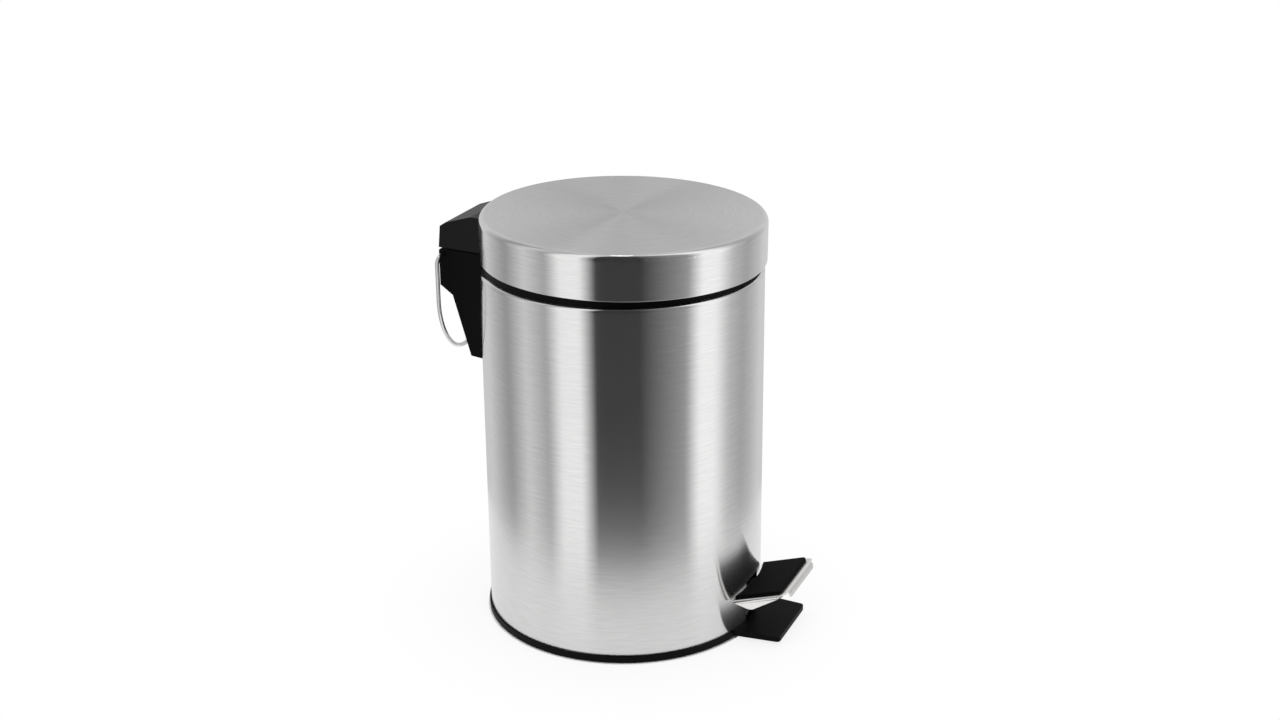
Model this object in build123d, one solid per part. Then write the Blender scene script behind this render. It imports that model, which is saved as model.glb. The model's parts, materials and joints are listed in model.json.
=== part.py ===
from build123d import *
import os
from math import sin, cos, tan, asin, atan, degrees, radians, hypot, sqrt

os.makedirs("parts", exist_ok=True)

# Millimetres. Can axis is Z, floor is Z 0, the pedal is at -Y and the hinge at +Y.

# Steel body
BODY_R = 85.0
SHEET = 0.5
BODY_TOP = 221.5
SHOULDER_R = 2.5
SHOULDER_LAND = 1.2

# Clearances: pieces that stay put, pins that turn, pieces that pass each other, cuts that end past a piece
SEAT = 0.1
PIN_FIT = 0.08
RUN = 0.4
CUT_PAST = 10.0

# Lid
LID_OVERHANG = 0.4
LID_FORWARD = 1.3
LID_H = 27.0
LID_GAP = 4.95
LID_EDGE_R = 4.0
LID_TILT = 0.8
LID_OPEN = 75.0
HEM_H = 3.0
HEM_T = 1.1

# Collar in the mouth of the body
RING_WALL = 2.0
RING_DROP = 3.95
RING_SKIRT = 7.0
RING_BEAD = 0.7
RING_ROUND = 1.2
BUMPER_R = 1.4
BUMPER_AZIMUTH = 30.0

# Base
LIP_H = 4.75
LIP_PROUD = 1.1
BASE_WALL = 2.0
FLOOR_H = 33.0
LIP_ROUND = 1.0
RIB_T = 2.0
RIB_DEPTH = 9.0
RIB_START = 30.0
RIB_SPREAD = 36.0
TONGUE_REACH = 26.0
TONGUE_W_ROOT = 52.0
TONGUE_W_TIP = 47.0
TONGUE_LIFT = 2.0
TONGUE_H = 5.5
TONGUE_TIP_H = 5.2
TONGUE_CORNER = 2.5

# Pedal: plate top passes PEDAL_H at the front of the body
PEDAL_H = 27.1
PEDAL_TILT = 17.6
PEDAL_LEN = 32.3
PEDAL_W = 57.0
PEDAL_CORNER = 5.0
PEDAL_GAP = 0.8
PEDAL_PRESS = 12.0
PLATE_T = 0.9
PLATE_EDGE_R = 2.2
FLANGE_REAR = -3.6
FLANGE_DEPTH = 6.8
FLANGE_BELLY = 7.4
FLANGE_TIP = 0.4
FLANGE_BELLY_R = 6.0
LIP_DEPTH = 4.5
LIP_W = 44.0
LIP_CORNER = 2.5
PEDAL_REAR = -8.0
PAD_T = 2.0
PAD_INSET = 3.5
PAD_FRONT_INSET = 4.4
PAD_CORNER = 2.0
PAD_REAR_INSET = 0.9
PAD_EDGE_R = 0.8

# Lever and its pivot
SLOT_SIDE = 2.0
LEVER_T = 2.0
LEVER_W = 24.0
LEVER_FRONT_W = 15.0
LEVER_FRONT_LEN = 38.0
LEVER_TAIL_W = 12.0
LEVER_TAIL_LEN = 20.0
LEVER_END_GAP = 1.2
LEVER_TAIL_Z = 7.0
LEVER_UNDER_PLATE = 20.0
LEVER_BEND = 1.0
PIVOT_Z = 12.0
PIVOT_D = 5.0
EAR_R = 5.5
EAR_LEN = 18.0
LUG_T = 4.0
LUG_R = 6.0
LUG_LEN = 16.0
NUT_T = 1.2
NUT_R = 4.5
RIVET_D = 4.0
RIVET_HEAD_R = 3.0
RIVET_HEAD_H = 1.2
RIVET_PITCH = 8.0

# Lift rod
ROD_D = 3.0
ROD_INSET = 4.9
ROD_BEND_R = 4.0
ROD_JOG_DROP = 29.0
ROD_SLOT_L = 5.4
ROD_COLLAR_R = 3.5
ROD_COLLAR_H = 2.6
ROD_DOME_R = 5.0
ROD_NUT_GAP = 0.8
ROD_TIP = 1.0

# Hinge, its bracket and the lever nose that the rod lifts
HINGE_OUT = 23.4
PIN_D = 3.0
KNUCKLE_R = 3.3
KNUCKLE_W = 21.0
PIN_GRIP = 3.5
NOSE_R = 3.0
NOSE_W = 8.0
NOSE_NECK = 0.8
NOSE_SLACK = 0.4
SPLIT_GAP = 0.8
BRACKET_WALL = 2.2
BRACKET_W_REAR = 44.0
BRACKET_CORNER = 1.6
BRACKET_W_FRONT = 52.0
BRACKET_DROP = 67.1
PLAN_START = 12.0
FOOT_OUT = 6.2
FOOT_RISE = 1.2
KNEE_OUT = 18.0
KNEE_DROP = 28.5
SHELF_DROP = 23.1
NOTCH_DROP = 6.0
CHEEK_DROP = 12.0
CHEEK_LEN = 8.0
GUIDE_DROP = 19.0
GUIDE_T = 3.0
GUIDE_W = 18.0
BLOCK_H = 21.8
BLOCK_REAR_H = 13.5
BLOCK_CHAMFER_Y = 4.0
BLOCK_CHAMFER_Z = 2.6
BLOCK_LEAN = 1.4
BLOCK_FLAT = 3.0
SCREW_D = 3.5
SCREW_LEN = 9.0
SCREW_HEAD_R = 3.5
SCREW_HEAD_H = 2.0
SCREW_AZIMUTH = 10.0
SCREW_TOP_DROP = 16.0
SCREW_LOW_DROP = 46.0
BOSS_R = 4.0
LID_RIVET_AZIMUTH = 8.5
LID_RIVET_DROP = 15.5
LID_RIVET_HEAD_H = 0.5

# Carrying bail
BAIL_D = 2.6
BAIL_W = 62.0
BAIL_DROP = 64.5
BAIL_BEND_R = 5.0
BAIL_LEG = 27.0

# Bucket
BUCKET_RISE = 0.5
BUCKET_GAP = 1.7
BUCKET_TAPER = 8.3
BUCKET_WALL = 1.6
BUCKET_FLOOR = 2.0
RIM_T = 2.0
EAR_W = 10.0
EAR_T = 2.4
EAR_H = 6.0
WIRE_D = 2.6
WIRE_BEND_R = 2.5
WIRE_HEAD_R = 1.6
WIRE_HEAD_T = 1.0

# What follows from the sizes above
BODY_IN = BODY_R - SHEET
MOUTH_R = BODY_R - SHOULDER_R - SHOULDER_LAND
LID_R = BODY_R + LID_OVERHANG
LID_TOP = BODY_TOP + LID_GAP + LID_H
SPIGOT_R = BODY_IN - SEAT
SPIGOT_IN = SPIGOT_R - BASE_WALL
RING_IN = MOUTH_R - SEAT - RING_WALL
RING_R = BODY_R - SHOULDER_R
RING_TOP = LID_TOP - RING_DROP
PIN_Y = BODY_R + HINGE_OUT
PIN_Z = BODY_TOP
REAR_Y = PIN_Y + KNUCKLE_R
BRACKET_TOP = PIN_Z + KNUCKLE_R
BLOCK_BOTTOM = BRACKET_TOP + SPLIT_GAP
NOTCH_W = KNUCKLE_W + 2 * RUN
LEVER_END = SPIGOT_IN - LEVER_END_GAP
ROD_Y = SPIGOT_IN - ROD_INSET
ROD_JOG_Z = BODY_TOP - ROD_JOG_DROP
BUCKET_TOP = BODY_TOP + BUCKET_RISE
BUCKET_R = ROD_Y - ROD_D / 2 - BUCKET_GAP
BUCKET_FOOT_R = BUCKET_R - BUCKET_TAPER
SLOT_W = LEVER_FRONT_W + 2 * SLOT_SIDE
TILT = radians(PEDAL_TILT)


def pedal_point(u, w):
    """Point u along the plate, w off its top, as (y, z)."""
    y = -BODY_R - u * cos(TILT) + w * sin(TILT)
    z = PEDAL_H + u * sin(TILT) + w * cos(TILT)
    return (y, z)


BEND = pedal_point(-LEVER_BEND, -PLATE_T - LEVER_T / 2)
LEVER_SLOPE = atan((BEND[1] - LEVER_TAIL_Z) / (ROD_Y - BEND[0]))


def lever_z(y):
    """Height of the lever's middle at y, behind the bend."""
    return LEVER_TAIL_Z + (ROD_Y - y) * tan(LEVER_SLOPE)


PRESS = radians(PEDAL_PRESS)
ROD_TRAVEL = ROD_Y * sin(PRESS) - (PIVOT_Z - LEVER_TAIL_Z) * (cos(PRESS) - 1)
HALF_OPEN = radians(LID_OPEN / 2)
NOSE_ARM = ROD_TRAVEL / (2 * sin(HALF_OPEN))
NOSE_Y = PIN_Y - NOSE_ARM * cos(HALF_OPEN)
NOSE_Z = PIN_Z - NOSE_ARM * sin(HALF_OPEN)
ROD_TOP_Y = PIN_Y - NOSE_ARM * (1 + cos(HALF_OPEN)) / 2
ROD_TOP_Z = NOSE_Z - NOSE_R - NOSE_SLACK
PEDAL_FRAME = Pos(0, -BODY_R, PEDAL_H) * Rot(-PEDAL_TILT, 0, 0)
LID_FRAME = Pos(0, -LID_FORWARD, LID_TOP) * Rot(LID_TILT, 0, 0) * Pos(0, 0, -LID_H)


def side(points, x0, x1):
    """Outline in the YZ plane drawn out from x0 to x1."""
    face = make_face(Polyline(*points, close=True))
    return extrude(Plane.YZ.offset(x0) * face, x1 - x0)


def across(y, z, radius, x0, x1):
    """Round bar along X."""
    return extrude(Plane.YZ.offset(x0) * Pos(y, z) * Circle(radius), x1 - x0)


def radial(z, radius, y0, y1):
    """Round bar along Y."""
    return extrude(Plane.XZ.offset(-y0) * Pos(0, z) * Circle(radius), -(y1 - y0))


def column(radius, z0, z1):
    return extrude(Plane.XY.offset(z0) * Circle(radius), z1 - z0)


def block(x0, x1, y0, y1, z0, z1):
    return Pos((x0 + x1) / 2, (y0 + y1) / 2, (z0 + z1) / 2) * Box(x1 - x0, y1 - y0, z1 - z0)


def turned(points):
    """Outline in (radius, z) turned round Z."""
    return revolve(Plane.XZ * make_face(Polyline(*points, close=True)), Axis.Z)


def both(shape):
    """The shape and its mirror image across the YZ plane."""
    return shape + mirror(shape, Plane.YZ)


def pan(radius, z0, z1, bend):
    """Cylinder with a rounded top edge."""
    solid = column(radius, z0, z1)
    return fillet(solid.edges().sort_by(Axis.Z)[-1], bend)


def strip(points, thickness):
    """Outline of a bent strip along a middle line of three points."""
    (ya, za), (yb, zb), (yc, zc) = points
    la = hypot(yb - ya, zb - za)
    lc = hypot(yc - yb, zc - zb)
    na = (-(zb - za) / la, (yb - ya) / la)
    nc = (-(zc - zb) / lc, (yc - yb) / lc)
    scale = 1 + na[0] * nc[0] + na[1] * nc[1]
    nb = ((na[0] + nc[0]) / scale, (na[1] + nc[1]) / scale)
    h = thickness / 2
    middle = list(zip(points, (na, nb, nc)))
    upper = [(p[0] + h * n[0], p[1] + h * n[1]) for p, n in middle]
    lower = [(p[0] - h * n[0], p[1] - h * n[1]) for p, n in middle]
    return upper + lower[::-1]


def tapered(inset, z0, z1):
    """Plan of the bracket and the hinge block, narrower at the rear."""
    rear = BRACKET_W_REAR / 2 - inset
    front = BRACKET_W_FRONT / 2 - inset
    start = BODY_R - PLAN_START
    plan = Polyline((-front, start), (front, start), (rear, REAR_Y), (-rear, REAR_Y), close=True)
    return extrude(Plane.XY.offset(z0) * make_face(plan), z1 - z0)


def bracket_screw_places():
    return [Rot(0, 0, -SCREW_AZIMUTH) * Pos(0, 0, BODY_TOP - SCREW_TOP_DROP),
            Rot(0, 0, SCREW_AZIMUTH) * Pos(0, 0, BODY_TOP - SCREW_TOP_DROP),
            Pos(0, 0, BODY_TOP - SCREW_LOW_DROP)]


def lid_rivet_places():
    level = Pos(0, 0, LID_H - LID_RIVET_DROP)
    return [LID_FRAME * Rot(0, 0, s * LID_RIVET_AZIMUTH) * level for s in (-1, 1)]


def pedal_rivet_places():
    y, z = pedal_point(LEVER_UNDER_PLATE / 2 + 1, -PLATE_T)
    return [Pos(s * RIVET_PITCH / 2, y, z) * Rot(-PEDAL_TILT, 0, 0) for s in (-1, 1)]


def body_shell():
    shell = pan(BODY_R, LIP_H, BODY_TOP, SHOULDER_R)
    shell -= pan(BODY_IN, LIP_H, BODY_TOP - SHEET, SHOULDER_R - SHEET)
    shell -= column(MOUTH_R, LIP_H, BODY_TOP)
    shell -= block(-SLOT_W / 2, SLOT_W / 2, -BODY_R - 1, 0, LIP_H, FLOOR_H - BASE_WALL)
    low = ROD_JOG_Z - ROD_D / 2 - RUN
    high = ROD_JOG_Z + ROD_TRAVEL + ROD_D / 2 + RUN
    shell -= block(-ROD_D / 2 - RUN, ROD_D / 2 + RUN, 0, BODY_R + 1, low, high)
    for place in bracket_screw_places():
        shell -= place * radial(0, SCREW_D / 2 + SEAT, BODY_R - CUT_PAST, BODY_R + CUT_PAST)
    return shell


def top_ring():
    skirt_r = MOUTH_R - SEAT
    foot = BODY_TOP - RING_SKIRT
    bead = BODY_TOP - SHEET - RING_BEAD - SEAT
    ring = turned([(RING_IN, foot), (skirt_r, foot), (skirt_r + RING_BEAD, bead - RING_BEAD),
                   (skirt_r + RING_BEAD, bead), (skirt_r, bead + RING_BEAD), (skirt_r, BODY_TOP),
                   (RING_R, BODY_TOP), (RING_R, RING_TOP), (RING_IN, RING_TOP)])
    return fillet(ring.edges().group_by(Axis.Z)[-1], RING_ROUND)


def lid_bumpers():
    rests = []
    for s in (-1, 1):
        spot = Rot(0, 0, s * BUMPER_AZIMUTH) * Pos(0, -(RING_IN + RING_R) / 2, 0)
        low = spot.position.Y - BUMPER_R + LID_FORWARD
        ceiling = LID_TOP - SHEET / cos(radians(LID_TILT)) + low * tan(radians(LID_TILT))
        rests.append(spot * column(BUMPER_R, RING_TOP, ceiling - SEAT))
    return rests


def base_ribs():
    ribs = Part()
    for angle in (0, RIB_SPREAD, -RIB_SPREAD):
        for turn in (0, 180):
            rib = block(RIB_START, SPIGOT_IN + 1, -RIB_T / 2, RIB_T / 2,
                        FLOOR_H - BASE_WALL - RIB_DEPTH, FLOOR_H - BASE_WALL)
            ribs += Rot(0, 0, angle + turn) * rib
    return ribs


def tongue():
    """Foot in front of the body, clear of the floor, narrower at its tip."""
    front = -BODY_R - TONGUE_REACH
    root = -sqrt(SPIGOT_IN**2 - (TONGUE_W_ROOT / 2)**2)
    slab = side([(root, TONGUE_LIFT), (front, TONGUE_LIFT), (front, TONGUE_TIP_H), (root, TONGUE_H)],
                -TONGUE_W_ROOT, TONGUE_W_ROOT)
    plan = Polyline((-TONGUE_W_ROOT / 2, root), (TONGUE_W_ROOT / 2, root), (TONGUE_W_TIP / 2, front),
                    (-TONGUE_W_TIP / 2, front), close=True)
    slab &= extrude(make_face(plan), 2 * TONGUE_H)
    corners = slab.edges().filter_by(Axis.Z).group_by(Axis.Y)[0]
    slab = fillet(corners, TONGUE_CORNER) - column(SPIGOT_IN, 0, LIP_H)
    return slab - column(BODY_R + SEAT, LIP_H, 2 * TONGUE_H)


def base():
    lip_r = BODY_R + LIP_PROUD
    under = FLOOR_H - BASE_WALL
    cup = turned([(SPIGOT_IN, 0), (lip_r - LIP_ROUND, 0), (lip_r, LIP_ROUND), (lip_r, LIP_H),
                  (SPIGOT_R, LIP_H), (SPIGOT_R, FLOOR_H), (0, FLOOR_H), (0, under), (SPIGOT_IN, under)])
    cup += base_ribs()
    inner = LEVER_W / 2 + RUN
    lug = side([(-LUG_LEN / 2, under), (-LUG_R, PIVOT_Z), (LUG_R, PIVOT_Z), (LUG_LEN / 2, under)],
               inner, inner + LUG_T)
    lug += across(0, PIVOT_Z, LUG_R, inner, inner + LUG_T)
    cup += both(lug)
    cup -= across(0, PIVOT_Z, PIVOT_D / 2 + PIN_FIT, -LEVER_W, LEVER_W)
    cup -= block(-SLOT_W / 2, SLOT_W / 2, -BODY_R, -SPIGOT_IN + BASE_WALL, LIP_H, under)
    cup -= Pos(0, ROD_Y, 0) * column(ROD_D / 2 + RUN, under, FLOOR_H)
    return cup + tongue()


def pedal_plan(half, length, corner, w0, w1):
    """Plate or pad outline, from height w0 to w1 off the plate top, before the rear is cut round."""
    rear = -PEDAL_REAR
    sketch = Polyline((-half, rear), (half, rear), (half, -length), (-half, -length), close=True)
    slab = extrude(Plane.XY.offset(w0) * make_face(sketch), w1 - w0)
    corners = slab.edges().filter_by(Axis.Z).group_by(Axis.Y)[0]
    return fillet(corners, corner)


def pedal_plate():
    outer = pedal_plan(PEDAL_W / 2, PEDAL_LEN, PEDAL_CORNER, -2 * FLANGE_DEPTH, 0)
    rim = outer.edges().group_by(Axis.Z)[-1].sort_by(Axis.Y)[:-1]
    outer = fillet(rim, PLATE_EDGE_R)
    flange = Polyline((-PEDAL_REAR, 0), (-FLANGE_REAR, 0), (-FLANGE_BELLY, -FLANGE_DEPTH),
                      (-PEDAL_LEN, -FLANGE_TIP), (-PEDAL_LEN - 1, -FLANGE_TIP), (-PEDAL_LEN - 1, 1),
                      (-PEDAL_REAR, 1), close=True)
    cheek = extrude(Plane.YZ.offset(-PEDAL_W) * make_face(flange), 2 * PEDAL_W)
    belly = cheek.edges().filter_by(Axis.X).sort_by(Axis.Z)[0]
    cheek = fillet(belly, FLANGE_BELLY_R)
    lip = block(-LIP_W / 2, LIP_W / 2, -PEDAL_LEN - 1, -PEDAL_LEN + PEDAL_CORNER, -LIP_DEPTH, 1)
    lip = fillet(lip.edges().filter_by(Axis.Y).group_by(Axis.Z)[0], LIP_CORNER)
    shell = outer & (cheek + lip)
    shell -= pedal_plan(PEDAL_W / 2 - PLATE_T, PEDAL_LEN - PLATE_T, PEDAL_CORNER - PLATE_T,
                        -2 * FLANGE_DEPTH, -PLATE_T)
    shell = PEDAL_FRAME * shell
    shell -= column(BODY_R + PEDAL_GAP, 0, 2 * PEDAL_H)
    for place in pedal_rivet_places():
        shell -= place * column(RIVET_D / 2 + SEAT, -PLATE_T, 2 * PLATE_T)
    return shell


def pedal_pad():
    pad = pedal_plan(PEDAL_W / 2 - PAD_INSET, PEDAL_LEN - PAD_FRONT_INSET, PAD_CORNER, 0, PAD_T)
    pad = PEDAL_FRAME * pad
    pad -= column(BODY_R + PEDAL_GAP + PAD_REAR_INSET, 0, 2 * PEDAL_H)
    top = pad.faces().sort_by(Axis((0, 0, 0), (0, sin(TILT), cos(TILT))))[-1]
    pad = fillet(top.edges(), PAD_EDGE_R)
    for place in pedal_rivet_places():
        pad -= place * column(RIVET_HEAD_R + SEAT, 0, PLATE_T + RIVET_HEAD_H / 2 + SEAT)
    return pad


def pedal_lever():
    y_end, z_end = pedal_point(LEVER_UNDER_PLATE, -PLATE_T - LEVER_T / 2)
    line = [(LEVER_END, lever_z(LEVER_END)), BEND, (y_end, z_end)]
    arm = side(strip(line, LEVER_T), -LEVER_W / 2, LEVER_W / 2)
    wide = LEVER_W / 2
    front = LEVER_FRONT_W / 2
    narrow = LEVER_TAIL_W / 2
    neck = -BODY_R + LEVER_FRONT_LEN
    shoulder = LEVER_END - LEVER_TAIL_LEN
    edge = [(front, y_end - CUT_PAST), (front, neck), (wide, neck + wide), (wide, shoulder - wide),
            (narrow, shoulder), (narrow, LEVER_END + CUT_PAST)]
    plan = Polyline(*edge, *[(-x, y) for x, y in reversed(edge)], close=True)
    arm &= extrude(make_face(plan), 3 * PEDAL_H)
    half = EAR_LEN / 2
    ear = side([(-half, lever_z(-half)), (-EAR_R, PIVOT_Z), (EAR_R, PIVOT_Z), (half, lever_z(half))],
               LEVER_W / 2 - LEVER_T, LEVER_W / 2)
    ear += across(0, PIVOT_Z, EAR_R, LEVER_W / 2 - LEVER_T, LEVER_W / 2)
    arm += both(ear)
    arm -= across(0, PIVOT_Z, PIVOT_D / 2 + PIN_FIT, -LEVER_W, LEVER_W)
    slot = SlotOverall(ROD_SLOT_L, ROD_D + 2 * RUN, rotation=90)
    arm -= extrude(Pos(0, ROD_Y, 0) * slot, PEDAL_H)
    for place in pedal_rivet_places():
        arm -= place * column(RIVET_D / 2 + SEAT, -2 * LEVER_T, LEVER_T)
    return arm


def pedal_rivets():
    rivet = column(RIVET_D / 2, -LEVER_T, PLATE_T)
    rivet += column(RIVET_HEAD_R, PLATE_T, PLATE_T + RIVET_HEAD_H / 2)
    rivet += column(RIVET_HEAD_R, -LEVER_T - RIVET_HEAD_H, -LEVER_T)
    return [place * rivet for place in pedal_rivet_places()]


def pivot_length():
    return LEVER_W / 2 + RUN + LUG_T + SEAT


def pivot_pin():
    reach = pivot_length() + NUT_T + ROD_TIP
    return across(0, PIVOT_Z, PIVOT_D / 2, -reach, reach)


def pivot_nuts():
    x0 = pivot_length()
    nuts = []
    for x in (x0, -x0 - NUT_T):
        nut = across(0, PIVOT_Z, NUT_R, x, x + NUT_T)
        nuts.append(nut - across(0, PIVOT_Z, PIVOT_D / 2 + SEAT / 2, x, x + NUT_T))
    return nuts


def rod_ends():
    """Underside of the collar and top of the nut, either side of the lever."""
    thick = LEVER_T / cos(LEVER_SLOPE) / 2
    return LEVER_TAIL_Z + thick + SEAT, LEVER_TAIL_Z - thick - ROD_NUT_GAP


def lift_rod():
    bottom = rod_ends()[1] - NUT_T - ROD_TIP
    line = FilletPolyline((ROD_Y, bottom), (ROD_Y, ROD_JOG_Z), (ROD_TOP_Y, ROD_JOG_Z),
                          (ROD_TOP_Y, ROD_TOP_Z), radius=ROD_BEND_R)
    path = Plane.YZ * line
    return sweep(Plane(origin=(0, ROD_Y, bottom), z_dir=(0, 0, 1)) * Circle(ROD_D / 2), path=path)


def rod_collar():
    z0 = rod_ends()[0]
    body = column(ROD_COLLAR_R, z0, z0 + ROD_COLLAR_H)
    body &= Pos(0, 0, z0 + ROD_DOME_R) * Sphere(ROD_DOME_R)
    body -= column(ROD_D / 2 + SEAT / 2, z0, z0 + ROD_COLLAR_H)
    return Pos(0, ROD_Y, 0) * body


def rod_nut():
    z1 = rod_ends()[1]
    body = column(ROD_COLLAR_R, z1 - NUT_T, z1) - column(ROD_D / 2 + SEAT / 2, z1 - NUT_T, z1)
    return Pos(0, ROD_Y, 0) * body


def bracket_face():
    """Side of the bracket."""
    foot_z = BRACKET_TOP - BRACKET_DROP
    front = BODY_R - PLAN_START
    outline = Polyline((front, foot_z), (BODY_R + FOOT_OUT, foot_z + FOOT_RISE),
                       (BODY_R + KNEE_OUT, BRACKET_TOP - KNEE_DROP), (REAR_Y, BRACKET_TOP - SHELF_DROP),
                       (REAR_Y, BRACKET_TOP), (front, BRACKET_TOP), close=True)
    return make_face(outline)


def drawn(face):
    """Face in (y, z) drawn out wider than the bracket."""
    return extrude(Plane.YZ.offset(-BRACKET_W_FRONT) * face, 2 * BRACKET_W_FRONT)


def rear_bracket():
    foot_z = BRACKET_TOP - BRACKET_DROP
    outer = drawn(bracket_face())
    corner = outer.edges().filter_by(Axis.X).sort_by(lambda e: e.center().Y + e.center().Z)[-1]
    outer = fillet(corner, BRACKET_CORNER) & tapered(0, foot_z, BRACKET_TOP)
    inner = drawn(offset(bracket_face(), -BRACKET_WALL)) & tapered(BRACKET_WALL, foot_z, BRACKET_TOP)
    cheek = block(NOTCH_W / 2, BRACKET_W_FRONT, PIN_Y - CHEEK_LEN, REAR_Y, PIN_Z - CHEEK_DROP, BRACKET_TOP)
    keep = both(cheek)
    guide_z = BRACKET_TOP - GUIDE_DROP
    keep += block(-GUIDE_W / 2, GUIDE_W / 2, ROD_TOP_Y - ROD_D, REAR_Y, guide_z - GUIDE_T, guide_z)
    for place in bracket_screw_places():
        keep += place * radial(0, BOSS_R, BODY_R - BOSS_R, REAR_Y)
    bracket = outer - (inner - keep)
    top = PIN_Z - NOTCH_DROP
    bracket -= block(-NOTCH_W / 2, NOTCH_W / 2, 0, REAR_Y, top, BRACKET_TOP)
    reach = ROD_TOP_Y + ROD_D / 2 + RUN
    bracket -= block(-ROD_D / 2 - RUN, ROD_D / 2 + RUN, 0, reach, guide_z - GUIDE_T, guide_z)
    bracket -= across(PIN_Y, PIN_Z, PIN_D / 2 + PIN_FIT, -BRACKET_W_FRONT, BRACKET_W_FRONT)
    for place in bracket_screw_places():
        bracket -= place * radial(0, SCREW_D / 2 + SEAT / 2, 0, BODY_R + SCREW_LEN)
    return bracket - column(BODY_R + SEAT, 0, LID_TOP)


def bracket_screws():
    seat = BODY_IN - SEAT
    screw = radial(0, SCREW_D / 2, seat, BODY_R + SCREW_LEN - SEAT)
    screw += radial(0, SCREW_HEAD_R, seat - SCREW_HEAD_H, seat)
    return [place * screw for place in bracket_screw_places()]


def hinge_pin():
    reach = KNUCKLE_W / 2 + PIN_GRIP
    return across(PIN_Y, PIN_Z, PIN_D / 2, -reach, reach)


def lid_shell():
    lid = pan(LID_R, 0, LID_H, LID_EDGE_R)
    lid -= pan(LID_R - SHEET, 0, LID_H - SHEET, LID_EDGE_R - SHEET)
    lid += column(LID_R, 0, HEM_H) - column(LID_R - HEM_T, 0, HEM_H)
    hem = lid.edges().group_by(Axis.Z)[0]
    lid = LID_FRAME * fillet(hem, HEM_T / 2 - SEAT)
    for place in lid_rivet_places():
        lid -= place * radial(0, RIVET_D / 2 + SEAT, LID_R - CUT_PAST, LID_R + CUT_PAST)
    return lid


def block_face(drop):
    """Side of the hinge block, its open bottom lowered by drop."""
    z0 = BLOCK_BOTTOM
    front = BODY_R - PLAN_START
    rear = REAR_Y - BLOCK_LEAN
    outline = Polyline((front, z0 - drop), (REAR_Y, z0 - drop), (REAR_Y, z0), (rear, z0 + BLOCK_REAR_H),
                       (rear - BLOCK_CHAMFER_Y, z0 + BLOCK_REAR_H + BLOCK_CHAMFER_Z),
                       (BODY_R + BLOCK_FLAT, z0 + BLOCK_H), (front, z0 + BLOCK_H), close=True)
    return make_face(outline)


def nose():
    """Arm from the knuckle to the round nose that stands on the lift rod, relieved below."""
    def below(y, z, depth):
        return (y + depth * sin(HALF_OPEN), z - depth * cos(HALF_OPEN))

    outline = [below(PIN_Y, PIN_Z, NOSE_NECK), below(NOSE_Y, NOSE_Z, NOSE_NECK),
               below(NOSE_Y, NOSE_Z, -NOSE_R), below(PIN_Y, PIN_Z, -KNUCKLE_R)]
    arm = side(outline, -NOSE_W / 2, NOSE_W / 2)
    return arm + across(NOSE_Y, NOSE_Z, NOSE_R, -NOSE_W / 2, NOSE_W / 2)


def lid_hinge():
    z1 = BLOCK_BOTTOM + BLOCK_H
    shell = drawn(block_face(SEAT)) & tapered(0, BLOCK_BOTTOM, z1)
    hollow = drawn(offset(block_face(2 * BRACKET_WALL), -BRACKET_WALL)) & tapered(BRACKET_WALL, 0, z1)
    hollow -= LID_FRAME * column(LID_R + SEAT + BRACKET_WALL, -LID_H, 2 * LID_H)
    shell -= hollow
    half = KNUCKLE_W / 2
    web = side([(PIN_Y - KNUCKLE_R, PIN_Z), (REAR_Y, PIN_Z), (REAR_Y, BLOCK_BOTTOM),
                (REAR_Y - BLOCK_LEAN, BLOCK_BOTTOM + BLOCK_REAR_H),
                (PIN_Y - KNUCKLE_R, BLOCK_BOTTOM + BLOCK_REAR_H)], -half, half)
    shell += web + across(PIN_Y, PIN_Z, KNUCKLE_R, -half, half) + nose()
    shell -= across(PIN_Y, PIN_Z, PIN_D / 2 + PIN_FIT, -half, half)
    shell -= LID_FRAME * column(LID_R + SEAT, -LID_H, 2 * LID_H)
    for place in lid_rivet_places():
        shell -= place * radial(0, RIVET_D / 2 + SEAT, LID_R - CUT_PAST, LID_R + CUT_PAST)
    return shell


def lid_rivets():
    inside = LID_R - SHEET - SEAT
    outside = LID_R + BRACKET_WALL + 2 * SEAT
    rivet = radial(0, RIVET_D / 2, inside, outside)
    rivet += radial(0, RIVET_HEAD_R, inside - LID_RIVET_HEAD_H, inside)
    rivet += radial(0, RIVET_HEAD_R, outside, outside + RIVET_HEAD_H)
    return [place * rivet for place in lid_rivet_places()]


def half_loop(tip, half, bend, leg, drop):
    """Half of a wire loop: stub along the pivot, bend, straight leg, flank and round end as two arcs."""
    turn = 1 if half > tip else -1
    centre = half - turn * bend
    stub = Line((tip, 0), (centre, 0))
    corner = CenterArc((centre, -bend), bend, 90, -90 * turn)
    fall = Line((half, -bend), (half, -leg))
    depth = drop - leg
    end_r = half ** 2 / depth
    flank_r = depth * (half + depth) / (2 * half)
    swing = degrees(asin((depth - end_r) / (flank_r - end_r)))
    flank = JernArc((half, -leg), (0, -1), flank_r, -swing)
    round_end = JernArc(flank @ 1, flank % 1, end_r, swing - 90)
    return Wire([stub, corner, fall, flank, round_end])


def wire_loop(plane, tip, half, bend, leg, drop, diameter):
    path = plane * half_loop(tip, half, bend, leg, drop)
    start = Plane(origin=path @ 0, z_dir=path % 0)
    return both(sweep(start * Circle(diameter / 2), path=path))


def carry_bail():
    plane = Plane(origin=(0, PIN_Y, PIN_Z), x_dir=(1, 0, 0), z_dir=(0, -1, 0))
    tip = KNUCKLE_W / 2 + PIN_GRIP + RUN
    return wire_loop(plane, tip, BAIL_W / 2, BAIL_BEND_R, BAIL_LEG, BAIL_DROP, BAIL_D)


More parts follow.
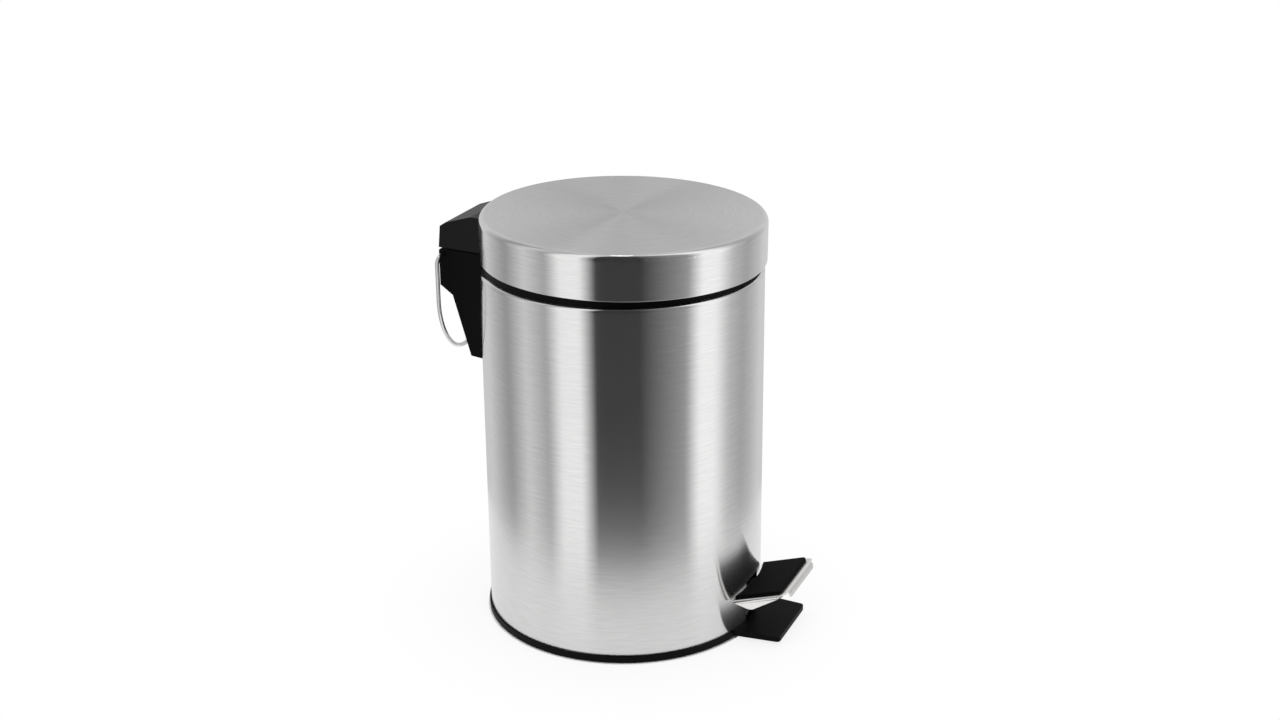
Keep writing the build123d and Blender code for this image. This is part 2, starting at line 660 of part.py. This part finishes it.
def bucket():
    rim_r = RING_IN - RUN
    rim_z = BUCKET_TOP - RIM_T
    inside = FLOOR_H + BUCKET_FLOOR
    cup = turned([(0, FLOOR_H), (BUCKET_FOOT_R, FLOOR_H), (BUCKET_R, rim_z), (rim_r, rim_z),
                  (rim_r, BUCKET_TOP), (BUCKET_R - BUCKET_WALL, BUCKET_TOP),
                  (BUCKET_FOOT_R - BUCKET_WALL, inside), (0, inside)])
    ear = block(BUCKET_R, BUCKET_R + EAR_T, -EAR_W / 2, EAR_W / 2, rim_z, BUCKET_TOP + EAR_H)
    cup += both(ear)
    hole = WIRE_D / 2 + PIN_FIT
    return cup - across(0, wire_z(), hole, -BODY_R, BODY_R)


def wire_z():
    """Axis of the bucket handle, just above the rim."""
    return BUCKET_TOP + WIRE_D / 2 + RUN


def bucket_handle():
    z = wire_z()
    tip = BUCKET_R + EAR_T + RUN
    half = BUCKET_R - WIRE_BEND_R - RUN
    reach = (BUCKET_R + RING_IN) / 2
    wire = wire_loop(Plane.XY.offset(z), tip, half, WIRE_BEND_R, EAR_W, reach, WIRE_D)
    return wire + both(across(0, z, WIRE_HEAD_R, tip, tip + WIRE_HEAD_T))


PARTS = {
    "body_shell": body_shell,
    "base": base,
    "top_ring": top_ring,
    "lid_bumpers": lid_bumpers,
    "rear_bracket": rear_bracket,
    "bracket_screws": bracket_screws,
    "hinge_pin": hinge_pin,
    "pivot_pin": pivot_pin,
    "pivot_nuts": pivot_nuts,
    "lid_shell": lid_shell,
    "lid_hinge": lid_hinge,
    "lid_rivets": lid_rivets,
    "pedal_lever": pedal_lever,
    "pedal_plate": pedal_plate,
    "pedal_pad": pedal_pad,
    "pedal_rivets": pedal_rivets,
    "lift_rod": lift_rod,
    "rod_collar": rod_collar,
    "rod_nut": rod_nut,
    "carry_bail": carry_bail,
    "bucket": bucket,
    "bucket_handle": bucket_handle,
}

for name, make in PARTS.items():
    shape = make()
    if isinstance(shape, list):
        shape = Compound(children=shape)
    export_step(shape, "parts/" + name + ".step")
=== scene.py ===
import json
from math import pi, radians

import bmesh
import bpy
from mathutils import Matrix

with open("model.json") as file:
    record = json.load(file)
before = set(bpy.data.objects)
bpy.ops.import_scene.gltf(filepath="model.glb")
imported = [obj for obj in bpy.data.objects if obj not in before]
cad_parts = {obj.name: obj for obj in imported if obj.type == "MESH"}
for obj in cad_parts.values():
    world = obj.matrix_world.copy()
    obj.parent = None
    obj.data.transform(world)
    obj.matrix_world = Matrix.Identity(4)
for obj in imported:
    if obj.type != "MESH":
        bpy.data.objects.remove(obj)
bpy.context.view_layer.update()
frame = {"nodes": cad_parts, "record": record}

# Camera, as the photograph was taken
CAMERA_AZIMUTH = radians(-66.25)
CAMERA_AWAY = 1.0725
CAMERA_HEIGHT = 0.5582
CAMERA_PAN = radians(-0.541)
CAMERA_DOWN = radians(20.358)
CAMERA_ROLL = radians(-0.467)
CAMERA_LENS = 53.05

# White floor. The object's shadow fades out between two distances from the can's axis.
FLOOR_R = 40.0
FLOOR_SIDES = 96
FLOOR_WHITE = 0.93
PAPER_SPREAD = 0.01
PAPER_CELLS = 30.0
UNDER_R = 0.087
SHADOW_R = (0.09, 0.28)
SHADOW_SHARE = 0.18

# Light
WORLD_FILL = 0.80
SOFTBOX_SIZE = 1.4
SOFTBOX_HEIGHT = 1.7
SOFTBOX_POWER = 14.0

# Soft screens that stand on the floor round the object, which only reflections see: degrees right of
# the camera, and brightness there, where 1 is white. White floor shows below them and white room above.
SCREEN_R = 0.21
SCREEN_TOP_R = 0.08
SCREEN_H = 1.2
SCREEN_SIDES = 180
SCREENS = [
    # back, left wall and left card
    (-180, 0.55), (-115, 0.80), (-85, 0.40), (-67, 0.85), (-50, 0.50),
    # left strip
    (-40, 1.20), (-27, 1.20),
    # dark front, paler to the right
    (-17, 0.05), (10, 0.05), (40, 0.40),
    # right strip
    (50, 1.30), (62, 1.30),
    # right wall and back
    (75, 0.70), (90, 0.50), (120, 0.80), (180, 0.55),
]

# How much fine structure a noise has
SOFT = 2.0
PLAIN = 3.0
SHARP = 4.0

# Brushing of the steel, as cells to the metre along and across the lines
FINE_LINES = (80.0, 1700.0)
STREAKS = (35.0, 700.0)
STREAK_SHARE = 0.1
BRUSH_DEPTH = 0.0000006
STEEL_DARK = (0.585, 0.582, 0.581)
STEEL_LIGHT = (0.735, 0.731, 0.730)
STEEL_ROUGH = (0.17, 0.20)
SMUDGE_CELLS = 14.0
QUARTER_TURN = 0.25

# Rolled edges of the steel keep this share of its roughness. An edge is what leans more than a wall
# and less than a top, by the upward part of its normal.
EDGE_ROUGH = 0.45
WALL_LEAN = (0.05, 0.25)
TOP_LEAN = (0.80, 0.97)

# Plated and moulded pieces
SPANGLE_FINER = 4.0
SPANGLE_DEPTH = 0.000004
FLOW_CELLS = 22.0
BLACK = {"dark": (0.001, 0.001, 0.0011), "light": (0.003, 0.003, 0.0032)}


def new_material(name):
    """A material with nodes, its node tree, and its Principled shader."""
    made = bpy.data.materials.new(name)
    made.use_nodes = True
    return made, made.node_tree, made.node_tree.nodes["Principled BSDF"]


def add(tree, kind, inputs=None, **settings):
    """A node with its settings, and its inputs set to a value or linked to a socket."""
    node = tree.nodes.new("ShaderNode" + kind)
    for key, value in settings.items():
        setattr(node, key, value)
    for key, value in (inputs or {}).items():
        if isinstance(value, bpy.types.NodeSocket):
            tree.links.new(value, node.inputs[key])
        else:
            node.inputs[key].default_value = value
    return node


def calc(tree, operation, a, b=0.0):
    """The result of one sum on two numbers or sockets."""
    return add(tree, "Math", {0: a, 1: b}, operation=operation).outputs[0]


def ranged(tree, value, start, end, low, high, **settings):
    """A value from start to end turned into one from low to high."""
    inputs = {"Value": value, "From Min": start, "From Max": end, "To Min": low, "To Max": high}
    return add(tree, "MapRange", inputs, **settings).outputs["Result"]


def spread(tree, value, low, high):
    """A 0 to 1 value drawn out to low and high."""
    return ranged(tree, value, 0, 1, low, high)


def tint(tree, value, dark, light):
    """A colour between two greys, by a 0 to 1 value."""
    mix = add(tree, "Mix", {"Factor": value}, data_type="RGBA")
    mix.inputs["A"].default_value = (*dark, 1)
    mix.inputs["B"].default_value = (*light, 1)
    return mix.outputs["Result"]


def place(tree):
    """Where a point of the object is, in metres."""
    return add(tree, "TexCoord").outputs["Object"]


def place_parts(tree):
    """A point's x, y and z, and how far it is from the can's axis, in metres."""
    x, y, z = add(tree, "SeparateXYZ", {0: place(tree)}).outputs
    squares = calc(tree, "ADD", calc(tree, "MULTIPLY", x, x), calc(tree, "MULTIPLY", y, y))
    return x, y, z, calc(tree, "SQRT", squares)


def grain(tree, cells, detail=PLAIN, where=None):
    """Even noise of that many cells to the metre."""
    inputs = {"Vector": where or place(tree), "Scale": cells, "Detail": detail}
    return add(tree, "TexNoise", inputs).outputs["Fac"]


def brushing(tree, along, across, detail):
    """Noise drawn out along the circles round the can's axis, on sides and tops alike."""
    x, y, z, away = place_parts(tree)
    lengthways = [calc(tree, "MULTIPLY", side, along) for side in (x, y)]
    step = calc(tree, "MULTIPLY", calc(tree, "ADD", z, away), across)
    where = add(tree, "CombineXYZ", {0: lengthways[0], 1: lengthways[1], 2: step})
    return grain(tree, 1.0, detail, where.outputs[0])


def bump(tree, shader, height, depth):
    """Relief of that depth in metres on a shader."""
    node = add(tree, "Bump", {"Height": height, "Distance": depth, "Strength": 1.0})
    tree.links.new(node.outputs["Normal"], shader.inputs["Normal"])


def seen(tree):
    """1 where the camera, a reflection or glass looks, and 0 where light is gathered."""
    rays = add(tree, "LightPath").outputs
    mirrored = calc(tree, "MAXIMUM", rays["Is Glossy Ray"], rays["Is Transmission Ray"])
    return calc(tree, "MAXIMUM", rays["Is Camera Ray"], mirrored)


def surface(tree, shader):
    """Makes a shader the one that the material shows."""
    tree.links.new(shader.outputs[0], tree.nodes["Material Output"].inputs["Surface"])


def edge_smoothing(tree):
    """The share of its roughness that the steel keeps: all of it on walls and tops, less on edges."""
    _, _, upward = add(tree, "SeparateXYZ", {0: add(tree, "TexCoord").outputs["Normal"]}).outputs
    lean = calc(tree, "ABSOLUTE", upward)
    wall = ranged(tree, lean, *WALL_LEAN, 1, 0)
    top = ranged(tree, lean, *TOP_LEAN, 0, 1)
    return spread(tree, calc(tree, "MAXIMUM", wall, top), EDGE_ROUGH, 1.0)


def brushed_steel():
    """Sheet brushed round its axis, so reflections draw out across the brushing."""
    made, tree, shader = new_material("brushed_steel_look")
    fine = brushing(tree, *FINE_LINES, SOFT)
    streak = brushing(tree, *STREAKS, PLAIN)
    lines = calc(tree, "ADD", calc(tree, "MULTIPLY", fine, 1 - STREAK_SHARE),
                 calc(tree, "MULTIPLY", streak, STREAK_SHARE))
    tree.links.new(tint(tree, lines, STEEL_DARK, STEEL_LIGHT), shader.inputs["Base Color"])
    brushed = spread(tree, grain(tree, SMUDGE_CELLS), *STEEL_ROUGH)
    tree.links.new(calc(tree, "MULTIPLY", brushed, edge_smoothing(tree)), shader.inputs["Roughness"])
    shader.inputs["Metallic"].default_value = 1.0
    shader.inputs["Anisotropic"].default_value = 1.0
    shader.inputs["Anisotropic Rotation"].default_value = QUARTER_TURN
    round_axis = add(tree, "Tangent", direction_type="RADIAL", axis="Z")
    tree.links.new(round_axis.outputs[0], shader.inputs["Tangent"])
    bump(tree, shader, fine, BRUSH_DEPTH)
    return made


def plated(name, dark, light, rough, spangle):
    """Plated steel: bright, with faint cloudiness of that many cells to the metre."""
    made, tree, shader = new_material(name)
    cloud = grain(tree, spangle, SHARP)
    tree.links.new(tint(tree, cloud, dark, light), shader.inputs["Base Color"])
    tree.links.new(spread(tree, cloud, *rough), shader.inputs["Roughness"])
    shader.inputs["Metallic"].default_value = 1.0
    bump(tree, shader, grain(tree, spangle * SPANGLE_FINER, SOFT), SPANGLE_DEPTH)
    return made


def moulded(name, dark, light, rough, sheen, cells, depth):
    """Moulded plastic or rubber of that sheen, with a fine grain of that many cells to the metre."""
    made, tree, shader = new_material(name)
    skin = grain(tree, cells, SHARP)
    flow = grain(tree, FLOW_CELLS, SOFT)
    tree.links.new(tint(tree, flow, dark, light), shader.inputs["Base Color"])
    tree.links.new(spread(tree, skin, *rough), shader.inputs["Roughness"])
    shader.inputs["Specular IOR Level"].default_value = sheen
    bump(tree, shader, skin, depth)
    return made


LOOKS = {
    "brushed_steel": brushed_steel(),
    "bright_wire": plated(
        "bright_wire_look", dark=(0.66, 0.66, 0.67), light=(0.80, 0.80, 0.81),
        rough=(0.03, 0.08), spangle=240.0),
    "bright_plate": plated(
        "bright_plate_look", dark=(0.76, 0.75, 0.74), light=(0.88, 0.87, 0.86),
        rough=(0.20, 0.28), spangle=180.0),
    "zinc_steel": plated(
        "zinc_steel_look", dark=(0.42, 0.43, 0.44), light=(0.60, 0.61, 0.61),
        rough=(0.28, 0.42), spangle=420.0),
    "black_plastic": moulded(
        "black_plastic_look", **BLACK,
        rough=(0.42, 0.62), sheen=0.07, cells=1500.0, depth=0.00004),
    "satin_plastic": moulded(
        "satin_plastic_look", **BLACK,
        rough=(0.36, 0.52), sheen=0.22, cells=1500.0, depth=0.00004),
    "bucket_plastic": moulded(
        "bucket_plastic_look", dark=(0.014, 0.014, 0.015), light=(0.024, 0.024, 0.025),
        rough=(0.30, 0.46), sheen=0.40, cells=700.0, depth=0.00002),
    "black_rubber": moulded(
        "black_rubber_look", dark=(0.001, 0.001, 0.001), light=(0.003, 0.003, 0.003),
        rough=(0.62, 0.80), sheen=0.07, cells=1900.0, depth=0.00006),
}

# Nodes with a glossier skin than their material slot has
SMOOTHER = {"lid_hinge": "satin_plastic"}


def dress():
    """Gives each node of the frame the look of its material slot."""
    for entry in frame["record"]["subparts"]:
        mesh = frame["nodes"][entry["node"]].data
        mesh.materials.clear()
        mesh.materials.append(LOOKS[SMOOTHER.get(entry["node"], entry["material_slot"])])


def camera():
    """The photograph's viewpoint."""
    data = bpy.data.cameras.new("camera")
    data.lens = CAMERA_LENS
    made = bpy.data.objects.new("camera", data)
    away = Matrix.Translation((0, -CAMERA_AWAY, CAMERA_HEIGHT))
    aim = Matrix.Rotation(CAMERA_PAN, 4, "Z") @ Matrix.Rotation(pi / 2 - CAMERA_DOWN, 4, "X")
    roll = Matrix.Rotation(CAMERA_ROLL, 4, "Z")
    made.matrix_world = Matrix.Rotation(CAMERA_AZIMUTH, 4, "Z") @ away @ aim @ roll
    bpy.context.collection.objects.link(made)
    bpy.context.scene.camera = made


def stage_mesh(name, fill, material):
    """A mesh of the stage, filled by a function on a bmesh."""
    shape = bmesh.new()
    fill(shape)
    data = bpy.data.meshes.new(name)
    shape.to_mesh(data)
    shape.free()
    data.materials.append(material)
    made = bpy.data.objects.new(name, data)
    bpy.context.collection.objects.link(made)
    return made


def floor_material():
    """Pale floor that keeps the object's shadow near it and is plain white further away."""
    made, tree, shader = new_material("floor_look")
    _, _, _, away = place_parts(tree)
    far = ranged(tree, away, *SHADOW_R, 1 - SHADOW_SHARE, 1, interpolation_type="SMOOTHSTEP")
    open_floor = calc(tree, "MULTIPLY", far, calc(tree, "GREATER_THAN", away, UNDER_R))
    paper = spread(tree, grain(tree, PAPER_CELLS), FLOOR_WHITE - PAPER_SPREAD, FLOOR_WHITE + PAPER_SPREAD)
    tree.links.new(paper, shader.inputs["Base Color"])
    shader.inputs["Roughness"].default_value = 1.0
    shader.inputs["Specular IOR Level"].default_value = 0.0
    white = add(tree, "Emission", {"Strength": 1.0})
    share = calc(tree, "MULTIPLY", open_floor, seen(tree))
    surface(tree, add(tree, "MixShader", {0: share, 1: shader.outputs[0], 2: white.outputs[0]}))
    return made


def screen_material():
    """Light and dark screens, by the angle round the object."""
    made, tree, shader = new_material("screen_look")
    tree.nodes.remove(shader)
    angle = add(tree, "TexGradient", {"Vector": place(tree)}, gradient_type="RADIAL").outputs["Fac"]
    ramp = add(tree, "ValToRGB", {"Fac": angle})
    front = 0.5
    stops = ramp.color_ramp.elements
    while len(stops) < len(SCREENS):
        stops.new(front)
    for stop, (degrees, level) in zip(stops, SCREENS):
        stop.position = front + degrees / 360
        stop.color = (level, level, level, 1)
    surface(tree, add(tree, "Emission", {"Color": ramp.outputs["Color"], "Strength": 1.0}))
    return made


def floor():
    """A floor that reaches past the view on all sides."""
    stage_mesh("floor", lambda shape: bmesh.ops.create_circle(
        shape, cap_ends=True, segments=FLOOR_SIDES, radius=FLOOR_R), floor_material())


def screens():
    """The ring of screens, open at its foot and top, with its front towards the camera."""
    middle = Matrix.Translation((0, 0, SCREEN_H / 2))
    made = stage_mesh("screens", lambda shape: bmesh.ops.create_cone(
        shape, segments=SCREEN_SIDES, radius1=SCREEN_R, radius2=SCREEN_TOP_R, depth=SCREEN_H,
        matrix=middle), screen_material())
    made.rotation_euler.z = CAMERA_AZIMUTH - pi / 2
    for ray in ("camera", "diffuse", "transmission", "volume_scatter", "shadow"):
        setattr(made, "visible_" + ray, False)


def softbox():
    """One soft lamp above the object."""
    lamp = bpy.data.lights.new("softbox", "AREA")
    lamp.size = SOFTBOX_SIZE
    lamp.energy = SOFTBOX_POWER
    made = bpy.data.objects.new("softbox", lamp)
    made.location = (0, 0, SOFTBOX_HEIGHT)
    bpy.context.collection.objects.link(made)


def white_room():
    """A world that is white where it is seen, and a little dimmer as light."""
    world = bpy.data.worlds.new("white_room")
    world.use_nodes = True
    tree = world.node_tree
    background = tree.nodes["Background"]
    background.inputs["Color"].default_value = (1, 1, 1, 1)
    tree.links.new(spread(tree, seen(tree), WORLD_FILL, 1.0), background.inputs["Strength"])
    bpy.context.scene.world = world


camera()
dress()
floor()
screens()
softbox()
white_room()
bpy.context.scene.view_settings.view_transform = "Standard"
